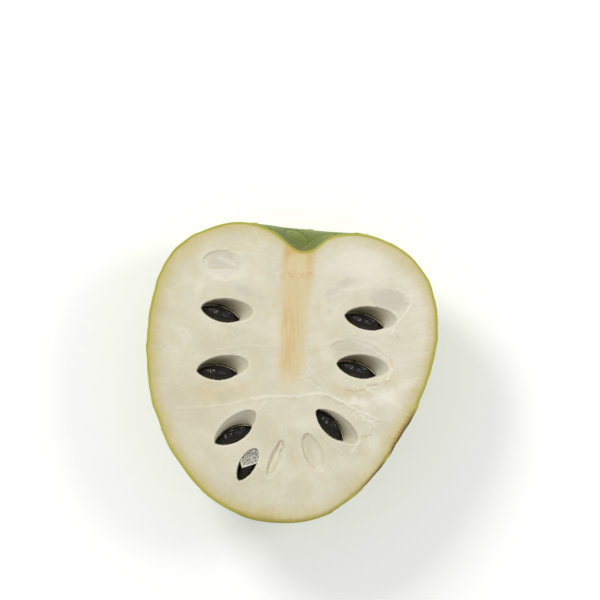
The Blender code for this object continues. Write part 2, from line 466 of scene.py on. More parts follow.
def back_surface(settings, rows=290, columns=280):
    """Each row is a half-round section that spans the rim from side to side: the rim's middle,
    plus half its width times the cosine of the angle, and below the cut its depth times the
    sine. Rows stand at even distances along the skin. The relief goes out along the normal."""
    share = np.linspace(0, 1, rows)[:, None] * np.ones(columns)
    angle = np.linspace(-math.pi, 0, columns)[None, :] * np.ones((rows, 1))
    stations = np.linspace(0, len(RIGHT_RIM) + 1, 400)
    right, left = rim(stations)
    steps = np.linalg.norm(np.diff((right + left) / 2, axis=0), axis=1)
    radii = np.linalg.norm(right - left, axis=1) / 2
    lengths = np.concatenate([[0], np.cumsum(np.hypot(steps, np.diff(radii)))])
    station = np.interp(share * lengths[-1], lengths, stations)
    along = np.interp(station, stations, lengths)
    right, left = rim(station)
    radius = np.linalg.norm(right - left, axis=-1) / 2
    points = np.zeros((rows, columns, 3))
    points[..., :2] = (right + left) / 2 + (right - left) / 2 * np.cos(angle)[..., None]
    points[..., 2] = BACK_ROUNDNESS * radius * np.sin(angle)
    down, round_ = np.gradient(points, axis=0), np.gradient(points, axis=1)
    normal = np.cross(down, round_)
    normal /= np.linalg.norm(normal, axis=-1, keepdims=True) + 1e-9
    relief = plate_relief(along, angle, radius, plate_list(lengths, radii, settings))
    below_cut = np.clip(-np.sin(angle) / 0.35, 0, 1)
    from_ends = np.clip(np.sin(share * math.pi) / 0.4, 0, 1)
    rise = settings.plate_rise / MM * from_ends * (0.25 + 0.75 * below_cut)
    height = rise * (relief.height - 0.6) + 0.15 * from_ends * waves(points, 6, 25, 9, 3)
    points += normal * height[..., None]
    points[:, [0, -1], 2] = 0
    points[[0, -1], :, 2] = 0
    points[..., 2] = np.maximum(points[..., 2], -shift()[2])
    return Back(points, relief, along)


def rim_loop(points):
    """Vertex numbers round the rim: down the left side of the grid and up the right."""
    rows, columns = points.shape[:2]
    number = np.arange(rows * columns).reshape(rows, columns)
    return np.concatenate([number[:, 0], number[-2:0:-1, -1]])


def inset(loop, distance):
    """The closed loop of 2-D points moved inwards: each point goes along its own normal. The
    loop runs anticlockwise seen from above."""
    tangent = np.roll(loop, -1, 0) - np.roll(loop, 1, 0)
    tangent /= np.linalg.norm(tangent, axis=1, keepdims=True) + 1e-9
    return loop + distance * np.stack([-tangent[:, 1], tangent[:, 0]], axis=1)


def skin_piece(settings):
    """The back, closed round the rim by a band as wide as the skin is thick, a wall down inside
    the flesh and a flat floor. The first and last rows are poles, one point each."""
    back = back_surface(settings)
    rows, columns = back.points.shape[:2]
    outer = back.points.reshape(-1, 3)
    loop = rim_loop(back.points)
    edge = outer[loop, :2]
    thick = settings.skin_thickness / MM
    inner = SKIN_MIDDLE + (edge - SKIN_MIDDLE) * 0.86
    rings = [
        level_ring(inset(edge, thick), -0.02),
        level_ring(inset(edge, thick + 0.3), -0.9),
        level_ring(inner, -9.0),
    ]
    points, walls = closed_by(outer, loop, rings, [*SKIN_MIDDLE, -9.0])
    faces = [grid_faces(rows, columns), *walls]
    relief = back.relief
    band = smooth(-2.2, 0.0, outer[:, 2]) * 0.8
    spare = len(points) - len(outer)
    attributes = {"burn": by_angle(points, BURN)}
    for name, values, elsewhere in (
        ("lip", relief.lip, 2), ("near", relief.near, 0), ("under", relief.under, 9),
        ("dot", relief.tip, 9), ("tone", relief.tone, 0.5), ("along", back.along, 60),
        ("band", band, 1),
    ):
        attributes[name] = np.pad(values.ravel(), (0, spare), constant_values=elsewhere)
    piece = add_piece(
        "plated_skin", points, faces, skin_finish(settings), ["half_fruit"], attributes
    )
    close_up(piece.data)


def close_up(mesh):
    """Merges the points that lie together, such as those of a pole, and turns faces outwards."""
    bm = bmesh.new()
    bm.from_mesh(mesh)
    bmesh.ops.remove_doubles(bm, verts=bm.verts[:], dist=1e-6)
    bmesh.ops.recalc_face_normals(bm, faces=bm.faces[:])
    bm.to_mesh(mesh)
    bm.free()


def skin_finish(settings):
    """Yellow-green plates, each of its own tone, with painted shade where they come out from under
    the next ones and a painted shadow line along their seams. Each has a thin pale lip that is
    partly a painted highlight, dark dots near the free end, and brown corners where plates meet."""
    finish = Finish("skin", Roughness=0.5, Specular_IOR_Level=0.35)
    place = finish.place()
    inside, under = finish.attribute("lip"), finish.attribute("under")
    tone, dot = finish.attribute("tone"), finish.attribute("dot")
    along, band = finish.attribute("along"), finish.attribute("band")
    clouds = finish.noise(place, 75.0, 4.0, 0.55)
    grain = finish.noise(place, 1100.0, 2.0, 0.6)
    blotch = finish.noise(place, 260.0, 3.0, 0.6)
    shade = tone * 0.45 + (clouds - 0.5) * 1.5 + (blotch - 0.5) * 0.5 + 0.3
    colour = finish.mix(shade, settings.skin_dark_and_shade, settings.skin_light)
    near = finish.attribute("near")
    below = inside.between(0.1, -0.2).at_least(1.0 - near)
    # Painted shade where a plate comes out from under the plate that overlaps it.
    colour = finish.mix(under.between(7.0, 0.0) * below * 0.7, colour, settings.skin_dark_and_shade)
    # Painted shadow: a dark line just outside each overlapping edge.
    line = inside.between(0.05, -0.2) * inside.between(-0.75, -0.3) * near
    colour = finish.mix(line * 0.7, colour, rgb(66, 76, 26))
    # A paler lip along each free edge, partly a painted highlight.
    lip = inside.between(0.02, 0.3) * inside.between(0.95, 0.4) * near
    colour = finish.mix(lip * (0.2 + clouds * 0.7), colour, settings.skin_edge_and_highlight)
    colour = finish.mix(grain.between(0.55, 0.72) * 0.3, colour, rgb(214, 216, 146))
    colour = finish.mix(grain.between(0.42, 0.28) * 0.25, colour, rgb(96, 112, 40))
    corner = under.between(1.6, 0.2) * below
    corner = corner * finish.noise(place, 95.0, 2.0).between(0.56, 0.68)
    speck = finish.noise(place, 330.0, 1.0).between(0.735, 0.77)
    dots = dot.between(5.5, 3.0) * finish.noise(place, 420.0, 1.0).between(0.64, 0.69)
    brown = (corner + dots + dot.between(0.7, 0.35) + speck * 0.6).at_most(1.0)
    colour = finish.mix(brown * 0.85, colour, settings.skin_spot)
    # Painted shade: darker towards the stem notch, whose dimple lies in shade.
    colour = finish.mix(along.between(34.0, 8.0) * 0.75, colour, rgb(80, 94, 8))
    scar = along.between(8.0, 2.0) * finish.noise(place, 260.0).between(0.3, 0.6)
    colour = finish.mix(scar * 0.8, colour, rgb(120, 96, 56))
    colour = finish.mix(band, colour, settings.skin_cut)
    scorched = finish.attribute("burn") * clouds.between(0.25, 0.5) * band.between(0.0, 0.5)
    colour = finish.mix(scorched * 0.9, colour, rgb(92, 62, 34))
    finish.set("Base Color", colour)
    finish.set("Roughness", 0.42 + clouds * 0.25)
    finish.bump(grain * 0.5 + blotch * 0.8 + brown * 0.3, 0.0002, 0.5)
    return finish.material


# ---- flesh

def bowl(points, pocket):
    """How deep a pocket's bowl is, and how many mm the points lie inside its edge. The oval
    narrows a little towards its near end."""
    along, across = turned_into(points, pocket.middle, pocket.degrees)
    u = along / pocket.half[0]
    narrow = 1 - 0.16 * np.clip(-u, 0, 1) ** 2
    v = across / (pocket.half[1] * narrow)
    r = np.hypot(u, v)
    inside = (1 - r) * pocket.half[1] * (1 + (u / np.maximum(r, 0.01)) ** 2)
    power = pocket.near + (pocket.far - pocket.near) * smooth(-1, 1, u)
    depth = pocket.depth * (1 + pocket.lean[0] * u + pocket.lean[1] * v)
    return depth * np.clip(1 - r * r, 0, 1) ** power, inside


def socket(points, seed, gap=0.3):
    """How deep the close socket under a seed is, and how many mm the points lie inside it. The
    seed's half width along its length is its thickness times (1 - u * u) ** SEED_POINT."""
    along, across = turned_into(points, seed.middle, seed.degrees)
    half = SEED_HALF * seed.size
    u = np.clip(along / (half[0] + gap), -1, 1)
    width = (half[1] + gap) * (1 - u * u) ** SEED_POINT + 1e-6
    q = np.abs(across) / width
    inside = np.where(np.abs(along) < half[0] + gap, width - np.abs(across), -9.0)
    lower = (half[2] + gap) * (1 - u * u) ** SEED_POINT * np.sqrt(np.clip(1 - q * q, 0, 1))
    # Points right on the socket's edge stay up, because its wall is upright there.
    return np.where(inside > 0.06, SEED_TOP_BELOW_CUT + half[2] + lower, 0), inside


def opening(points):
    """Mm inside the nearest edge of the openings, and less than 0 outside them all."""
    inside = [bowl(points, pocket)[1] for pocket in SEED_POCKETS + BARE_POCKETS]
    inside += [socket(points, seed)[1] for seed in SEEDS.values()]
    return np.max(inside, axis=0)


def snapped(points, reach):
    """Moves the points that lie within reach, in mm, of an opening's edge onto that edge, along
    the slope of the distance to it."""
    for _ in range(2):
        here = opening(points)
        step = 0.02
        slope = np.stack([
            (opening(points + [step, 0]) - opening(points - [step, 0])) / (2 * step),
            (opening(points + [0, step]) - opening(points - [0, step])) / (2 * step),
        ], axis=-1)
        size = (slope ** 2).sum(-1)
        away = here / np.sqrt(size + 1e-9)
        move = np.where((np.abs(away) < reach) & (size > 0.04), here / (size + 1e-9), 0)
        points = points - slope * move[..., None]
    return points


def cut_grid(loop, count):
    """A count by count grid that fills the loop. A square becomes a disc by the elliptical map,
    x = a * sqrt(1 - b * b / 2) and y = b * sqrt(1 - a * a / 2), and each ray of the disc is then
    stretched to the loop. Returns the points and their share of the way out."""
    a, b = np.meshgrid(np.linspace(-1, 1, count), np.linspace(-1, 1, count), indexing="ij")
    x, y = a * np.sqrt(1 - b * b / 2), b * np.sqrt(1 - a * a / 2)
    angles = np.arctan2(loop[:, 1] - FACE_MIDDLE[1], loop[:, 0] - FACE_MIDDLE[0])
    order = np.argsort(angles)
    reach = np.hypot(loop[:, 0] - FACE_MIDDLE[0], loop[:, 1] - FACE_MIDDLE[1])[order]
    far = np.interp(np.arctan2(y, x), angles[order], reach, period=2 * math.pi)
    return FACE_MIDDLE + np.stack([x * far, y * far], axis=-1), np.hypot(x, y)


def near_line(points, line):
    """Distance in mm from each point to a line of a few corners."""
    nearest = np.full(points.shape[:-1], 99.0)
    for start, end in zip(line[:-1], line[1:], strict=True):
        run = np.subtract(end, start)
        t = np.clip(((points - start) @ run) / (run @ run), 0, 1)
        gap = points - start - t[..., None] * run
        nearest = np.minimum(nearest, np.linalg.norm(gap, axis=-1))
    return nearest


def patch(points, middle, half, degrees, soft=0.6):
    """An oval mark: 1 inside, fading to 0 over its outer part, which is soft of its radius."""
    along, across = turned_into(points, middle, degrees)
    return smooth(1, 1 - soft, np.hypot(along / half[0], across / half[1]))


# Ovals on the cut face: middle, half sizes, angle, strength and how soft the edge is. They are
# glassy grey where a seed lies close under the cut, milky, yellowed, or torn and rough.
GREY_MARKS = [
    ((-25.6, 41.0), (8.0, 5.2), -14, 0.6, 0.4), ((-17.8, 31.2), (6.0, 2.9), -20, 0.75, 0.8),
    ((-11.0, 28.0), (5.0, 1.8), -28, 0.35, 0.8), ((37.2, 27.4), (9.0, 5.0), -14, 0.6, 0.4),
    ((22.0, 34.2), (7.0, 2.0), 18, 0.5, 0.8), ((16.0, 30.6), (4.4, 2.0), 30, 0.4, 0.9),
    ((14.8, 22.9), (3.0, 1.8), 0, 0.35, 0.9), ((-23.6, -9.2), (5.3, 3.2), 8, 0.3, 0.3),
    ((27.0, 4.6), (12.0, 6.6), -24, 0.35, 0.3), ((-22.0, 14.0), (4.5, 1.8), 15, 0.25, 0.8),
    ((34.0, -20.0), (4.6, 2.8), -20, 0.4, 0.8), ((-40.0, 14.0), (2.6, 3.8), 10, 0.2, 0.8),
    ((40.8, 13.0), (3.0, 3.0), -40, 0.35, 0.8), ((20.5, -29.5), (4.6, 2.8), -20, 0.3, 0.7),
    ((-28.5, -5.0), (8.0, 1.4), -4, 0.25, 0.9), ((26.0, 13.4), (9.0, 1.4), -16, 0.2, 0.9),
    ((-22.0, 16.6), (7.5, 1.2), -20, 0.3, 0.9), ((31.5, 12.9), (7.0, 1.2), -20, 0.3, 0.9),
]
MILKY_MARKS = [
    ((26.5, -11.5), (7.5, 2.2), -14, 0.8, 0.7), ((36.0, -9.5), (9.0, 3.2), 14, 0.75, 0.7),
    ((45.0, -4.5), (7.0, 2.6), 20, 0.5, 0.8), ((-40.0, 14.4), (3.8, 4.8), 0, 0.35, 0.9),
    ((39.6, 15.3), (1.2, 1.5), -30, 1.0, 0.7), ((-20.0, 36.0), (26.0, 14.0), -10, 0.25, 0.8),
    ((26.0, 42.0), (22.0, 9.0), -12, 0.4, 0.8), ((24.0, -30.0), (3.0, 1.4), 60, 0.4, 0.8),
    ((-12.0, 37.0), (3.0, 5.0), 0, 0.3, 0.8), ((30.0, -18.5), (6.0, 1.5), -28, 0.6, 0.8),
    ((-34.0, 33.0), (2.4, 8.0), -20, 0.4, 0.8), ((14.5, 6.0), (4.0, 3.0), 20, 0.3, 0.8),
    ((33.0, -27.0), (5.0, 6.0), 30, 0.4, 0.9), ((8.0, -20.0), (9.0, 5.0), 0, 0.25, 0.9),
    ((9.8, -31.0), (6.0, 2.6), -66, 0.5, 0.8), ((-4.4, -31.0), (4.0, 1.2), 66, 0.4, 0.8),
]
YELLOW_MARKS = [
    ((-26.0, -8.0), (18.0, 7.0), 4, 0.55, 0.9), ((-12.0, 40.0), (7.0, 3.0), -50, 0.3, 0.9),
    ((21.0, -7.5), (9.0, 3.4), -24, 0.5, 0.9), ((40.0, -5.2), (3.0, 1.0), -60, 0.4, 0.8),
    ((36.6, -3.4), (4.0, 1.6), 28, 0.7, 0.8), ((38.4, 3.6), (1.0, 3.0), 20, 0.7, 0.7),
    ((0.8, -31.0), (1.0, 5.0), 0, 0.7, 0.8), ((11.0, 26.0), (1.6, 6.0), 0, 0.3, 0.8),
    ((-6.0, 25.3), (2.4, 1.4), -35, 0.7, 0.8), ((-9.6, 28.6), (2.0, 1.2), -35, 0.4, 0.8),
    ((9.6, 8.4), (3.0, 3.0), 0, 0.35, 0.9), ((28.0, -24.5), (3.4, 1.0), 12, 0.5, 0.8),
    ((-17.0, 47.6), (8.0, 2.0), -10, 0.25, 0.9), ((-13.6, 49.0), (3.0, 1.4), -60, 0.4, 0.8),
    ((-24.5, 46.6), (8.0, 0.7), 2, 0.6, 0.6), ((-36.0, 47.0), (9.0, 4.0), 42, 0.5, 0.9),
    ((28.6, -7.0), (4.0, 1.2), -12, 0.7, 0.8), ((27.0, -30.0), (5.0, 2.0), -30, 0.4, 0.9),
]
ROUGH_MARKS = [
    ((25.0, -16.5), (6.5, 1.8), -25, 1.0, 0.6), ((29.5, -21.5), (4.0, 2.6), -10, 0.8, 0.7),
    ((27.0, -5.5), (7.5, 1.4), -6, 0.9, 0.6), ((-11.8, -15.4), (1.2, 3.6), -36, 0.9, 0.5),
    ((-40.0, 14.4), (2.8, 4.2), 0, 0.35, 0.9), ((40.4, 13.6), (3.0, 3.0), -40, 0.9, 0.6),
    ((14.4, -7.0), (3.4, 1.4), -40, 0.7, 0.7), ((33.0, -12.0), (9.0, 3.0), 10, 0.35, 0.8),
]
# Creases and edges of the flesh: their corners, half width, height and paleness.
CREASES = [
    ([(-42, -14), (-24, -12.5), (-14.5, -10.4)], 0.5, 0.12, 0.2),
    ([(-14.5, -10.4), (-9.5, -9.4), (-4.0, -9.1), (2, -9.5)], 0.45, 0.2, 0.6),
    ([(2, -9.5), (11.3, -8.0), (14.5, -8.8)], 0.4, 0.22, 0.7),
    ([(14.5, -8.8), (23.5, -13.6), (33.5, -18.3)], 0.45, 0.25, 0.7),
    ([(4.0, -2.0), (9.0, -4.9), (14.4, -8.8)], 0.35, 0.15, 0.4),
    ([(14.4, -8.8), (22.0, -12.2), (25.5, -12.4)], 0.6, 0.25, 0.8),
    ([(28.9, -6.5), (36.0, -10.5), (41.8, -13.3)], 0.8, 0.15, 0.5),
    ([(12.0, -24.0), (19.8, -31.0)], 0.3, 0.25, 0.5),
    ([(23.5, -31.0), (26.6, -26.2)], 0.4, 0.2, 0.6),
    ([(-13.2, -18.0), (-11.6, -14.0), (-9.2, -11.4)], 0.3, 0.22, 0.6),
    ([(-2.0, -11.0), (-2.6, -17.0), (-1.2, -25.0)], 0.25, -0.1, 0.15),
    ([(6.0, 3.0), (10.0, -2.0), (14.0, -7.5)], 0.25, 0.12, 0.3),
    ([(7.4, 5.6), (11.6, 1.4), (14.2, -3.6)], 0.25, 0.12, 0.3),
    ([(-28.0, 8.6), (-19.0, 10.0), (-5.5, 9.8)], 0.3, 0.08, 0.3),
    ([(-33.6, 43.4), (-33.2, 40.4), (-30.6, 37.6), (-27.6, 35.8), (-23.6, 34.7)], 0.28, 0.14, 0.8),
    ([(-34.9, 42.0), (-34.4, 39.6), (-31.4, 36.4), (-28.4, 34.8), (-24, 33.7)], 0.25, 0.1, 0.5),
    ([(-23.6, 34.7), (-20.6, 36.4), (-17.1, 41.0), (-18.5, 43.6)], 0.3, 0.08, 0.3),
    ([(-33.6, 43.4), (-30.4, 46.2), (-23.6, 46.9), (-18.5, 44.0)], 0.25, 0.1, 0.3),
    ([(-4.6, 37.5), (-4.2, 34.0)], 0.5, 0.15, 0.5),
    ([(46.2, 29.0), (46.0, 25.5), (43.4, 21.5), (39.6, 18.8)], 0.35, 0.12, 0.7),
    ([(30.5, 29.0), (35.0, 31.8), (41.0, 31.6), (45.6, 28.4)], 0.3, 0.08, 0.35),
    ([(15.2, 10.8), (17.6, 12.4), (24.0, 11.9), (31.0, 9.0), (37.0, 4.6)], 0.3, 0.14, 0.6),
    ([(37.0, 4.6), (38.6, 0.6)], 0.3, 0.14, 0.4),
    ([(38.6, 0.6), (37.6, -2.6), (33.8, -4.8)], 0.4, 0.35, 1.0),
    ([(20.0, 30.6), (30.0, 32.6)], 0.4, 0.1, 0.4), ([(20.6, 27.0), (14.4, 20.5)], 0.4, 0.06, 0.3),
]
# Grooves in the bare pockets, and their browned edges: corners, half width, height and brown.
GROOVES = [
    ([(-3.9, -26.6), (-6.4, -31.5), (-8.9, -38.5)], 0.3, -0.5, 0.55),
    ([(-4.4, -26.6), (-2.8, -26.4), (-2.2, -28.4)], 0.3, -0.3, 0.6),
    ([(-3.4, -28.0), (-4.6, -32.0), (-7.4, -38.0)], 0.32, 0.35, 0.0),
    ([(-3.0, -29.0), (-3.9, -32.0), (-6.2, -37.4)], 0.3, -0.4, 0.3),
    ([(7.0, -23.6), (4.6, -25.6), (4.6, -28.5), (6.4, -33.4), (9.2, -36.8)], 0.3, -0.3, 0.5),
    ([(17.0, 8.6), (24.0, 8.4), (31.0, 4.6)], 0.3, -0.12, 0.25),
    ([(16.4, 6.4), (20.0, 7.2)], 0.3, -0.1, 0.2),
    ([(29.0, -5.2), (33.4, -5.0), (36.2, -3.4)], 0.35, -0.3, 0.5),
    ([(21.0, -7.0), (25.0, -7.8), (29.5, -6.4)], 0.3, -0.2, 0.4),
    ([(27.5, -24.8), (31.0, -24.0)], 0.3, -0.1, 0.4),
]
# How strong the stain inside the skin is, by the angle round the face from the right.
STAIN_ANGLES = [-180, -150, -125, -100, -70, -54, -42, -22, -16, 10, 45, 70, 95, 120, 140, 180]
STAIN = [0.9, 0.9, 1.0, 0.85, 0.65, 0.8, 0.9, 1.0, 1.0, 1.0, 0.7, 0.5, 0.7, 0.85, 0.95, 0.95]
BURN = [0.0, 0.0, 0.1, 0.5, 0.3, 0.8, 1.0, 1.0, 0.1, 0.1, 0.0, 0.0, 0.0, 0.0, 0.0, 0.0]


def by_angle(points, values):
    """The values of a table by angle, read at each point's angle round the face."""
    angle = np.degrees(np.arctan2(points[..., 1], points[..., 0] - FACE_MIDDLE[0]))
    return np.interp(angle, STAIN_ANGLES, values)


def core_band(points):
    """How far inside the core the points lie: 1 on its axis, 0 at its edges and below its end.
    The axis runs from the notch to the core's end, and its half width shrinks on the way."""
    x, y = points[..., 0], points[..., 1]
    down = np.clip((CORE_TOP[1] - y) / (CORE_TOP[1] - CORE_END[1]), 0, 1.4)
    axis = CORE_TOP[0] + (CORE_END[0] - CORE_TOP[0]) * down ** 0.7
    half = 6.9 - 2.2 * down + 0.35 * np.sin(y * 0.45) - 1.6 * smooth(0.13, 0.0, down)
    side = (x - axis) / half
    return smooth(1.35, 0.6, np.abs(side)) * smooth(-11.0, 4.0, y), side


def fibre_frame(points):
    """Coordinates that follow the fibres: out from the core, and along it. Beside the core the
    second one is y, and below its end it goes on as the angle round that end. The third result
    is the side of the core."""
    x, y = points[..., 0] - CORE_END[0], points[..., 1] - CORE_END[1]
    above = y > 0
    out = np.where(above, np.abs(x), np.hypot(x, y))
    angle = np.arctan2(-np.minimum(y, 0), np.abs(x))
    droop = 0.25 * np.abs(x)
    along = np.where(above, y - droop, -angle * 22.0 - droop * np.cos(angle))
    return out, along, np.sign(x)


def oval_marks(points):
    """How strong each kind of mark is at each point. The ovals' outlines waver by 0.5 mm."""
    points = points + 0.5 * np.stack([waves(points, 2, 7, 9, n) for n in (31, 32)], axis=-1)
    tables = {
        "grey": GREY_MARKS, "milky": MILKY_MARKS, "yellow": YELLOW_MARKS, "rough": ROUGH_MARKS,
    }
    return {
        name: np.max([strength * patch(points, middle, half, degrees, soft)
                      for middle, half, degrees, strength, soft in table], axis=0)
        for name, table in tables.items()
    }


def line_marks(points, lines):
    """The sum of the lines' heights at each point, and the strongest of their marks. Across a
    line both follow a bell curve, and the lines waver by 0.22 mm."""
    points = points + 0.22 * np.stack([waves(points, 1.5, 5, 9, n) for n in (33, 34)], axis=-1)
    raised, mark = np.zeros(points.shape[:-1]), np.zeros(points.shape[:-1])
    for line, width, height, strength in lines:
        bell = np.exp(-((near_line(points, line) / width) ** 2))
        raised += height * bell
        mark = np.maximum(mark, strength * bell)
    return raised, mark


def flesh_depths(points):
    """How deep the bowls are, how deep the bowls and sockets are together, and how close the
    points lie to a seed's socket, from 0 to 1."""
    bowls = np.zeros(points.shape[:-1])
    for pocket in SEED_POCKETS + BARE_POCKETS + DISHES:
        bowls = np.maximum(bowls, bowl(points, pocket)[0])
    depth, close = bowls, np.zeros(bowls.shape)
    for seed in SEEDS.values():
        hole, inside = socket(points, seed)
        depth = np.maximum(depth, hole)
        close = np.maximum(close, smooth(-2.6, -0.1, inside))
    return bowls, depth, close


def flesh_piece(settings, skin_edge_and_highlight, count=292):
    """The cut face with its pockets, closed below by a slanted wall and a flat floor that stay
    inside the skin. Its height is the sum of the lines, the fibres, some unevenness, a low lip
    round each opening, a slope to the skin and the torn places, less the depth of the pockets."""
    loop = inset(skin_edge_and_highlight, 0.5 * settings.skin_thickness / MM)
    flat, share = cut_grid(loop, count)
    inner = share < 0.97
    flat[inner] = snapped(flat[inner], 0.22)
    from_middle = np.linalg.norm(flat - FACE_MIDDLE, axis=-1)
    rim_gap = (1 - share) * from_middle / np.maximum(share, 0.01)
    within = opening(flat)
    bowls, depth, close = flesh_depths(flat)
    near_pocket = np.max([bowl(flat, pocket)[1] for pocket in SEED_POCKETS], axis=0)
    marks = oval_marks(flat)
    creased, pale = line_marks(flat, CREASES)
    grooved, marks["brown"] = line_marks(flat, GROOVES)
    out, along, side = fibre_frame(flat)
    threads = waves(np.stack([out * 0.12, along], axis=-1), 0.9, 4.0, 12, 5)
    raised = creased + grooved + 0.014 * threads * smooth(0, 6, out)
    raised += 0.10 * waves(flat, 7, 30, 9, 1) + 0.02 * waves(flat, 1.2, 3, 9, 2)
    raised += 0.05 * np.exp(-(((within + 0.35) / 0.3) ** 2))
    raised -= 0.25 * np.exp(-((rim_gap / 0.7) ** 2))
    torn = marks["rough"] * waves(flat, 0.9, 2.6, 14, 41)
    fan = along_dish(flat, DISHES[0])
    wrinkle = waves(np.stack([fan * 14, fan * 9], axis=-1), 1.6, 3.0, 5, 42)
    wrinkle *= patch(flat, DISHES[0].middle, (8, 5.2), DISHES[0].degrees)
    raised += 0.1 * torn + 0.07 * wrinkle
    milky = np.clip(np.maximum(marks["milky"], pale) + 0.35 * torn, 0, 1)
    marks["milky"] = np.clip(milky + 0.35 * wrinkle, 0, 1)
    height = raised * smooth(3.0, 1.0, depth) - depth
    top = np.concatenate([flat, height[..., None]], axis=-1).reshape(-1, 3)
    number = np.arange(count * count).reshape(count, count)
    border = np.concatenate([
        number[:-1, 0], number[-1, :-1], number[:0:-1, -1], number[0, :0:-1]
    ])
    rings = [
        level_ring(FACE_MIDDLE + (top[border, :2] - FACE_MIDDLE) * scale, z)
        for scale, z in ((0.97, -3.0), (0.84, -11.5))
    ]
    points, walls = closed_by(top, border, rings, [*FACE_MIDDLE, -11.5])
    core, core_side = core_band(flat)
    # The masks depth, close and deep place the painted shade in the pockets.
    values = {
        "depth": bowls, "within": within, "rim": rim_gap, "core": core, "core_side": core_side,
        "close": close, "deep": smooth(-0.8, -0.1, near_pocket),
        "stain": by_angle(flat, STAIN), "burn": by_angle(flat, BURN), **marks,
    }
    spare = len(points) - len(top)
    attributes = {name: np.pad(value.ravel(), (0, spare)) for name, value in values.items()}
    fibre = np.stack([out * side, along, np.zeros_like(out)], axis=-1)
    away = (flat - FACE_MIDDLE) / (from_middle[..., None] + 1e-9)
    spoke = np.concatenate([50 * away, 0.22 * rim_gap[..., None]], axis=-1)
    for name, vectors in (("fibre", fibre), ("spoke", spoke)):
        attributes[name] = np.pad(vectors.reshape(-1, 3), ((0, spare), (0, 0)))
    piece = add_piece(
        "cut_flesh", points, [grid_faces(count, count), *walls], flesh_finish(settings),
        ["half_fruit"], attributes,
    )
    close_up(piece.data)


def along_dish(points, dish):
    """The angle round a dish, for wrinkles that fan out from a point beyond its far end."""
    along, across = turned_into(points, dish.middle, dish.degrees)
    return np.arctan2(across, dish.half[0] * 0.9 - along)


def flesh_tones(finish, settings, place, streaks):
    """The flesh away from the core, the rim and the pockets: painted light makes it lighter
    towards the upper right and darker on the left of the core; it is also clouded, streaked, and
    coloured by the marks."""
    across = finish.node("ShaderNodeSeparateXYZ", {}, [("Vector", place)], "X")
    up = finish.node("ShaderNodeSeparateXYZ", {}, [("Vector", place)], "Y")
    clouds = finish.noise(place, 70.0, 5.0, 0.6)
    fine = finish.noise(place, 650.0, 3.0, 0.6)
    # Painted light: the flesh goes from a shaded colour on the left to a lit colour towards the
    # upper right.
    side = (across * 9.0 + 0.45 + up * 3.0).at_least(0.0).at_most(1.0)
    colour = finish.mix(side, settings.flesh_shaded_left, settings.flesh_lit_right)
    colour = finish.mix((clouds - 0.42) * 2.0, colour, rgb(226, 221, 203))
    colour = finish.mix((clouds - 0.58) * -1.6 + (fine - 0.5) * 0.3, colour, rgb(200, 193, 164))
    colour = finish.mix((streaks - 0.52) * 1.6, colour, rgb(203, 195, 164))
    for name, strength, tint in (
        ("yellow", 0.7, rgb(208, 190, 132)), ("grey", 0.8, rgb(186, 184, 168)),
        ("milky", 0.8, rgb(236, 232, 218)),
    ):
        colour = finish.mix(finish.attribute(name) * strength, colour, tint)
    return colour


def stained_rim(finish, settings, place, colour):
    """The yellow stain inside the skin, whose edge is ragged and whose reach changes round the
    face, a greener line against the skin, and the scorched stretch."""
    gap, stain = finish.attribute("rim"), finish.attribute("stain")
    spokes = finish.noise(finish.attribute("spoke", "Vector"), 1.1, 4.0, 0.6)
    patches = finish.noise(place, 45.0, 2.0)
    ragged = gap + (patches - 0.5) * 6.0 + (spokes - 0.5) * 5.0
    colour = finish.mix(ragged.between(7.5, -1.0) * stain, colour, settings.flesh_stain)
    inner = gap.between(1.8, 0.1) * (stain + spokes - 0.5)
    colour = finish.mix(inner.at_most(1.0) * 0.8, colour, rgb(184, 172, 78))
    scorched = (gap + (patches - 0.5) * 4.0 + (spokes - 0.5) * 2.0).between(2.2, -0.4)
    scorched = scorched * finish.attribute("burn")
    return finish.mix(scorched * 0.75, colour, rgb(140, 104, 52))


def core_fibres(finish, settings, place, streaks, colour):
    """The core: pale fibres with a ragged outline, rusty ones along its middle, amber dots below,
    rust along both edges near the notch, and two rusty bands across it there."""
    up = finish.node("ShaderNodeSeparateXYZ", {}, [("Vector", place)], "Y")
    core_side = finish.attribute("core_side")
    threads = finish.node(
        "ShaderNodeVectorMath", {"operation": "MULTIPLY"}, [(0, place), (1, (900.0, 80.0, 1.0))]
    )
    thread = finish.noise(threads, 1.0, 3.0, 0.6)
    dotted = finish.noise(place, 700.0, 2.0, 0.7)
    wide = core_side * core_side + (streaks - 0.5) * 2.2 + (dotted - 0.5) * 0.9
    core = finish.attribute("core") * wide.between(2.0, 0.4)
    colour = finish.mix(core * (0.45 + thread * 0.6), colour, settings.core_pale)
    middle = (core_side + 0.12) * (core_side + 0.12) + (dotted - 0.5) * 0.4
    rusty = core * middle.between(0.7, 0.0) * up.between(-0.014, 0.01)
    rusty = rusty * (0.3 + thread.between(0.3, 0.7)) * up.between(0.036, 0.02)
    rusty = rusty * (0.35 + core_side.between(0.8, -0.1) * 0.65)
    colour = finish.mix(rusty * (0.15 + dotted * 0.5), colour, settings.core_dark)
    amber = core * dotted.between(0.6, 0.72) * up.between(-0.006, 0.006)
    colour = finish.mix(amber * 0.6, colour, rgb(214, 174, 84))
    edges = core * core_side.between(0.35, 0.9) * up.between(0.03, 0.044)
    edges = edges + core * core_side.between(-0.35, -0.9) * up.between(0.036, 0.046)
    lower = up.between(0.0345, 0.0365) * up.between(0.039, 0.037) * dotted.between(0.35, 0.6)
    bands = up.between(0.0435, 0.0465) + lower * 0.7
    rust = (edges + core * bands).at_most(1.0)
    return finish.mix(rust * 0.7, colour, settings.core_dark)


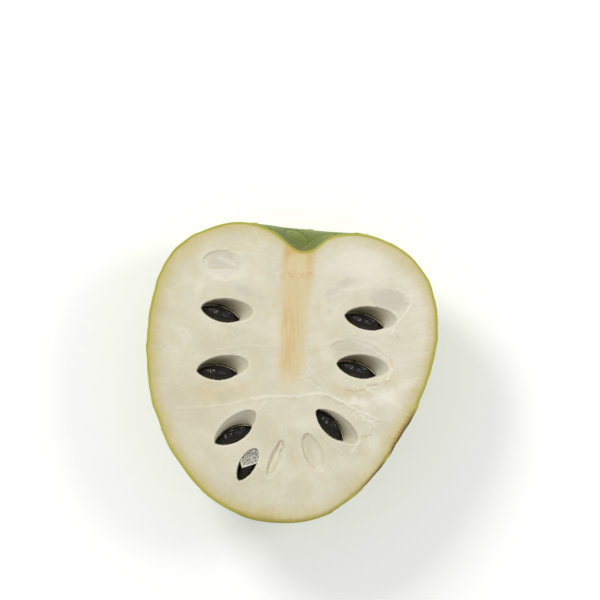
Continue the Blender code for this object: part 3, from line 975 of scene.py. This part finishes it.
def pocket_shades(finish, settings, streaks, colour):
    """A painted highlight along the edge of each opening, and painted shade in the pockets: grey
    in the seed pockets, darker on the deep walls and darkest close to a seed."""
    depth, within = finish.attribute("depth"), finish.attribute("within")
    # Painted highlight: a pale line just outside the edge of each opening.
    pale = within.between(-0.8, -0.3) * within.between(0.05, -0.2) * 0.3
    colour = finish.mix(pale, colour, rgb(232, 228, 212))
    # Painted shade: the inside of each seed pocket is greyed.
    deep = finish.attribute("deep") * within.between(0.0, 0.7)
    colour = finish.mix(deep * 0.3, colour, rgb(150, 144, 122))
    # Painted shade: darker the deeper the pocket's wall.
    shade = depth.between(0.8, 4.6) * within.between(-0.05, 0.3)
    colour = finish.mix(shade * (0.7 + streaks * 0.4), colour, settings.pocket_shade_colour)
    # Painted shade: darkest close to a seed.
    close = finish.attribute("close") * within.between(0.0, 0.6) * depth.between(0.3, 2.5)
    return finish.mix(close * 0.55, colour, settings.pocket_shade_colour)


def flesh_finish(settings):
    """Cream flesh that is clouded, streaked along its fibres, yellowed inside the skin and glassy
    grey in places, with a tan core and amber specks. Painted light makes it lighter towards the
    upper right, a painted highlight runs along the edges of the openings, and painted shade
    darkens the pockets."""
    finish = Finish(
        "flesh", Roughness=0.45, Specular_IOR_Level=0.3, Subsurface_Weight=0.15,
        Subsurface_Radius=(1.0, 0.8, 0.5), Subsurface_Scale=0.0012,
    )
    place, fibre = finish.place(), finish.attribute("fibre", "Vector")
    stretched = finish.node(
        "ShaderNodeVectorMath", {"operation": "MULTIPLY"}, [(0, fibre), (1, (0.05, 0.9, 1.0))]
    )
    streaks = finish.noise(stretched, 1.0, 4.0, 0.6)
    colour = flesh_tones(finish, settings, place, streaks)
    colour = stained_rim(finish, settings, place, colour)
    colour = core_fibres(finish, settings, place, streaks, colour)
    speck = finish.noise(place, 330.0, 1.0).between(0.755, 0.79)
    colour = finish.mix(speck * 0.45, colour, rgb(208, 172, 96))
    colour = finish.mix(finish.attribute("brown") * 0.7, colour, rgb(168, 136, 90))
    finish.set("Base Color", pocket_shades(finish, settings, streaks, colour))
    clouds, fine = finish.noise(place, 70.0, 5.0, 0.6), finish.noise(place, 650.0, 3.0, 0.6)
    finish.set("Roughness", 0.38 + clouds * 0.2 - finish.attribute("grey") * 0.12)
    relief = fine * 0.5 + streaks * 0.5 + finish.noise(place, 2200.0, 2.0) * 0.15
    finish.bump(relief, 0.00025, 0.35)
    return finish.material


# ---- seeds

def seed_surface(size, rows=72, columns=56):
    """A seed along X. Its half width at u along it is (1 - u * u) ** SEED_POINT, and its section
    is an oval a little squarer than an ellipse. Three grooves and many fine ridges run along its
    right part, and its left part is dented and rough."""
    u = -np.cos(np.linspace(0, math.pi, rows))[:, None] * np.ones(columns)
    angle = (np.arange(columns) * 2 * math.pi / columns)[None, :] * np.ones((rows, 1))
    cosine, sine = np.cos(angle), np.sin(angle)
    power = SEED_SQUARENESS
    square = (np.abs(cosine) ** power + np.abs(sine) ** power) ** (-1 / power)
    groove = np.zeros_like(u)
    for at, bend, start in ((0.95, 0.25, -0.25), (0.45, 0.15, -0.05), (1.35, 0.4, 0.1)):
        groove += np.exp(-(((angle - at - bend * u) / 0.12) ** 2)) * smooth(start, start + 0.3, u)
    dent = np.exp(-(((u + 0.25 + 0.1 * np.sin(angle)) / 0.05) ** 2)) * smooth(0.1, 0.9, sine)
    rough = waves(np.stack([u * 3, cosine, sine], axis=-1), 0.35, 1.2, 14, 21)
    rough *= 0.014 + 0.03 * smooth(0.1, -0.4, u)
    ridges = 0.024 * np.sin(15 * angle + 3 * u) * smooth(-0.15, 0.3, u)
    scale = square * (1 - 0.13 * groove - 0.05 * dent + rough + ridges)
    thin = (1 - u * u) ** SEED_POINT
    half = SEED_HALF * size
    across, up = half[1] * thin * cosine * scale, half[2] * thin * sine * scale
    return np.stack([u * half[0], across, up], axis=-1)


def seed_pieces(settings):
    """The seeds, each where the frame has it."""
    finish = seed_finish(settings)
    for name, seed in SEEDS.items():
        points = seed_surface(seed.size)
        rows, columns = points.shape[:2]
        number = np.arange(rows * columns).reshape(rows, columns)
        faces = [strip_faces(number[n], number[n + 1]) for n in range(rows - 1)]
        own = points.reshape(-1, 3) * [0.45, 1.7, 1.2]    # grain is finest across the seed
        points = with_seed(points, seed)
        points[:, 2] -= SEED_TOP_BELOW_CUT + SEED_HALF[2] * seed.size
        piece_name = name.replace("seed_", "") + "_seed"
        piece = add_piece(piece_name, points, faces, finish, [name], {"own": own})
        close_up(piece.data)


def seed_finish(settings):
    """A glossy brown-black coat, finely grained, with browner patches."""
    finish = Finish("seed_coat", Specular_IOR_Level=0.3)
    place = finish.place()
    patches = finish.noise(place, 260.0, 3.0)
    grain = finish.noise(finish.attribute("own", "Vector"), 1.0, 3.0, 0.6)
    colour = finish.mix(patches.between(0.45, 0.75), settings.seed_colour, rgb(30, 22, 18))
    finish.set("Base Color", colour)
    finish.set("Roughness", 0.04 + grain * 0.1)
    finish.bump(grain, 0.0005, 0.35)
    return finish.material


# ---- membranes

LIP_SIDES = 8


def lip_points(seed, count=40, sides=LIP_SIDES):
    """A thin lip of membrane along one side of a seed. Its middle line follows the seed's outline
    where the pocket's floor meets it, and its section is an oval that shrinks to a point at
    both ends."""
    u = np.linspace(-0.97, 0.985, count)
    width = SEED_HALF[1] * (1 - u * u) ** SEED_POINT
    line = np.stack([u * SEED_HALF[0], width * 0.93 + 0.12, -2.6 - 1.6 * (1 - u * u)], axis=-1)
    angle = np.arange(sides) * 2 * math.pi / sides
    thick = (0.06 + 0.1 * smooth(0.3, 0.9, u)) * smooth(0, 0.06, 0.985 - np.abs(u))
    points = line[:, None, :] + np.zeros((count, sides, 3))
    points[..., 1] += thick[:, None] * 1.3 * np.cos(angle)
    points[..., 2] += thick[:, None] * 2.2 * np.sin(angle)
    return with_seed(points, seed)


def membrane_pieces(settings):
    """The pale lips of membrane beside the six big seeds, as one piece."""
    points, faces, start = [], [], 0
    for seed in SEEDS.values():
        if seed.size < 1:
            continue
        tube = lip_points(seed)
        number = start + np.arange(len(tube)).reshape(-1, LIP_SIDES)
        faces += [strip_faces(number[n], number[n + 1]) for n in range(len(number) - 1)]
        faces += [number[0][None, ::-1], number[-1][None, :]]
        points.append(tube)
        start += len(tube)
    finish = Finish("membrane", Roughness=0.4)
    tint = finish.noise(finish.place(), 400.0, 2.0)
    finish.set("Base Color", finish.mix(tint, rgb(146, 134, 96), settings.membrane_colour))
    piece = add_piece(
        "seed_membranes", np.concatenate(points), faces, finish.material, ["half_fruit"]
    )
    close_up(piece.data)


def film_piece(rows=40, columns=40):
    """The torn membrane over the upper end of the lowest seed. Across the pocket it spans from
    wall to wall, and along it runs from the pocket's top to a torn edge that dips to
    a point and curls up. It sags in the middle and is wrinkled. Solidify gives it thickness."""
    seed = SEEDS["seed_lowest"]
    across = np.linspace(-1, 1, columns)[None, :] * np.ones((rows, 1))
    share = np.linspace(0, 1, rows)[:, None] * np.ones((1, columns))
    torn = np.interp(across, [-1, 0.45, 1], [0.42, -0.28, 0.02])
    u = 0.985 + (torn - 0.985) * share
    width = 3.1 * np.sqrt(np.clip(1 - u * u, 0, 1)) + 0.05
    points = np.stack([u * 6.9, across * width, np.zeros_like(u)], axis=-1)
    sag = (1 - across ** 2) * smooth(0, 0.4, share) * 0.5
    wrinkles, curl = 0.18 * waves(points, 0.8, 2.4, 12, 8), 0.3 * smooth(0.85, 1, share)
    points[..., 2] = wrinkles + curl - sag - 0.25
    points = with_seed(points, seed)
    finish = Finish("torn_film", Roughness=0.35)
    mottle = finish.noise(finish.place(), 2400.0, 2.0, 0.6).between(0.36, 0.66)
    pale = finish.attribute("torn").between(0.86, 0.94)
    colour = finish.mix((mottle + pale).at_most(1.0), rgb(98, 94, 82), rgb(212, 209, 194))
    finish.set("Base Color", colour)
    piece = add_piece(
        "torn_film", points, [grid_faces(rows, columns)], finish.material, ["half_fruit"],
        {"torn": share.ravel()}
    )
    wall = piece.modifiers.new("thickness", "SOLIDIFY")
    wall.thickness = 0.12 * MM
    wall.offset = 0


# ---------------------------------------------------------------- settings

def length(name, text, default):
    return FloatProperty(name=name, description=text, default=default, unit="LENGTH", precision=4)


def colour(name, text, default):
    return FloatVectorProperty(
        name=name, description=text, default=default, size=3, subtype="COLOR", min=0, max=1
    )


class FruitSettings(bpy.types.PropertyGroup):
    """Sizes and colours of the fruit."""

    skin_thickness: length("Skin thickness", "Width of the skin's edge at the cut", 0.0006)
    plate_width: length("Plate width", "Distance between the plates of a row", 0.022)
    plate_rise: length("Plate rise", "How far a plate stands over the next one", 0.0020)
    plate_rows: IntProperty(name="Rows", description="Rows of plates", default=10, min=3)
    first_row: length("First row", "From the notch to the first row, along the skin", 0.008)
    last_row: length("Last row", "From the notch to the last row, along the skin", 0.150)
    skin_light: colour("Skin, light", "The lightest plates", rgb(192, 200, 112))
    # Dark plates, and the colour of the painted shade under the overlapping plates.
    skin_dark_and_shade: colour("Skin, dark", "The roots of the plates", rgb(122, 140, 56))
    # The paler free edge of a plate, partly a painted highlight.
    skin_edge_and_highlight: colour("Plate edge", "The free edge of a plate", rgb(198, 212, 104))
    skin_spot: colour("Spots", "Dots and corners of the plates", rgb(66, 48, 34))
    skin_cut: colour("Cut skin", "The edge of the skin at the cut", rgb(178, 176, 58))
    # Painted light: the flesh's shaded colour on the left and its lit colour on the right.
    flesh_shaded_left: colour("Flesh, left", "Flesh on the left of the core", rgb(209, 202, 176))
    flesh_lit_right: colour("Flesh, right", "Flesh on the right of the core", rgb(219, 214, 193))
    flesh_stain: colour("Stain", "Flesh just inside the skin", rgb(196, 181, 112))
    core_pale: colour("Core, pale", "Fibres of the core", rgb(214, 196, 148))
    core_dark: colour("Core, dark", "Rusty fibres of the core", rgb(206, 166, 98))
    # The colour of the painted shade in the deepest part of a pocket.
    pocket_shade_colour: colour("Pocket", "The deepest part of a pocket", rgb(112, 104, 80))
    membrane_colour: colour("Membrane", "Lips of membrane", rgb(196, 188, 154))
    seed_colour: colour("Seed", "The seeds' coat", rgb(18, 14, 12))


class StudioSettings(bpy.types.PropertyGroup):
    """The floor, lights and camera."""

    floor_colour: colour("Floor", "The pale floor", (0.92, 0.92, 0.91))
    view_width: length("View width", "What the camera sees at the cut face", 0.228)
    camera_height: length("Camera height", "From the cut face", 1.6)
    key_power: FloatProperty(name="Key", description="Key light's power in W", default=4.4)
    sky: FloatProperty(name="Sky", description="Strength of the even light", default=0.6)


class CUSTARD_OT_skin(bpy.types.Operator):
    """Add the plated skin of the back"""
    bl_idname = "custard.skin"
    bl_label = "Skin"

    def execute(self, context):
        skin_piece(context.scene.custard_fruit)
        return {"FINISHED"}


class CUSTARD_OT_flesh(bpy.types.Operator):
    """Add the cut face of the flesh with its pockets"""
    bl_idname = "custard.flesh"
    bl_label = "Flesh"

    def execute(self, context):
        settings = context.scene.custard_fruit
        points = back_surface(settings).points
        edge = points.reshape(-1, 3)[rim_loop(points), :2]
        flesh_piece(settings, edge)
        return {"FINISHED"}


class CUSTARD_OT_seeds(bpy.types.Operator):
    """Add the seeds"""
    bl_idname = "custard.seeds"
    bl_label = "Seeds"

    def execute(self, context):
        seed_pieces(context.scene.custard_fruit)
        return {"FINISHED"}


class CUSTARD_OT_membranes(bpy.types.Operator):
    """Add the membranes that hold the seeds"""
    bl_idname = "custard.membranes"
    bl_label = "Membranes"

    def execute(self, context):
        membrane_pieces(context.scene.custard_fruit)
        film_piece()
        return {"FINISHED"}


class CUSTARD_OT_studio(bpy.types.Operator):
    """Add the floor, the lights and the camera"""
    bl_idname = "custard.studio"
    bl_label = "Studio"

    def execute(self, context):
        scene, settings = context.scene, context.scene.custard_studio
        floor_mesh = bpy.data.meshes.new("floor")
        floor_mesh.from_pydata(
            [(-4, -4, 0), (4, -4, 0), (4, 4, 0), (-4, 4, 0)], [], [(0, 1, 2, 3)]
        )
        floor = bpy.data.objects.new("floor", floor_mesh)
        scene.collection.objects.link(floor)
        floor_mesh.materials.append(
            Finish("floor", Base_Color=(*settings.floor_colour, 1.0), Roughness=0.9,
                   Emission_Color=(1.0, 1.0, 1.0, 1.0), Emission_Strength=0.14).material
        )
        world = bpy.data.worlds.new("studio")
        world.use_nodes = True
        world.node_tree.nodes["Background"].inputs["Strength"].default_value = settings.sky
        world.node_tree.nodes["Background"].inputs["Color"].default_value = (1, 1, 1, 1)
        scene.world = world
        middle = Vector((0, 0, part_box("half_fruit")[1].z))
        for name, spot, size, power in (
            ("key", (-0.45, 0.55, 0.75), 0.28, settings.key_power),
            ("fill", (0.7, 0.25, 0.9), 0.3, settings.key_power * 0.6),
        ):
            lamp = bpy.data.lights.new(name, "AREA")
            lamp.size, lamp.energy = size, power
            light = bpy.data.objects.new(name, lamp)
            scene.collection.objects.link(light)
            light.location = middle + Vector(spot)
            light.rotation_euler = (-Vector(spot)).to_track_quat("-Z", "Y").to_euler()
        camera = bpy.data.cameras.new("camera")
        camera.sensor_width = 36.0
        camera.lens = camera.sensor_width * settings.camera_height / settings.view_width
        camera.clip_end = 20.0
        eye = bpy.data.objects.new("camera", camera)
        scene.collection.objects.link(eye)
        centre = np.array([3.8, 27.4, 0.0]) + shift()
        eye.location = Vector(centre * MM) + Vector((0, 0, settings.camera_height))
        scene.camera = eye
        scene.view_settings.view_transform = "Standard"
        return {"FINISHED"}


class CUSTARD_PT_panel(bpy.types.Panel):
    """Sizes, colours and pieces of the custard apple half"""
    bl_idname = "CUSTARD_PT_panel"
    bl_label = "Custard Apple Half"
    bl_space_type = "VIEW_3D"
    bl_region_type = "UI"
    bl_category = "Custard Apple"

    def draw(self, context):
        for settings in (context.scene.custard_fruit, context.scene.custard_studio):
            box = self.layout.box()
            for name in settings.__annotations__:
                box.prop(settings, name)
        for operator in OPERATORS:
            self.layout.operator(operator.bl_idname)


OPERATORS = (
    CUSTARD_OT_skin, CUSTARD_OT_flesh, CUSTARD_OT_seeds, CUSTARD_OT_membranes, CUSTARD_OT_studio
)
CLASSES = (FruitSettings, StudioSettings, *OPERATORS, CUSTARD_PT_panel)


def register():
    for cls in CLASSES:
        bpy.utils.register_class(cls)
    bpy.types.Scene.custard_fruit = PointerProperty(type=FruitSettings)
    bpy.types.Scene.custard_studio = PointerProperty(type=StudioSettings)


def unregister():
    del bpy.types.Scene.custard_studio
    del bpy.types.Scene.custard_fruit
    for cls in reversed(CLASSES):
        bpy.utils.unregister_class(cls)


def main():
    register()
    bpy.ops.custard.skin()
    bpy.ops.custard.flesh()
    bpy.ops.custard.seeds()
    bpy.ops.custard.membranes()
    bpy.ops.custard.studio()


if __name__ == "__main__":
    main()
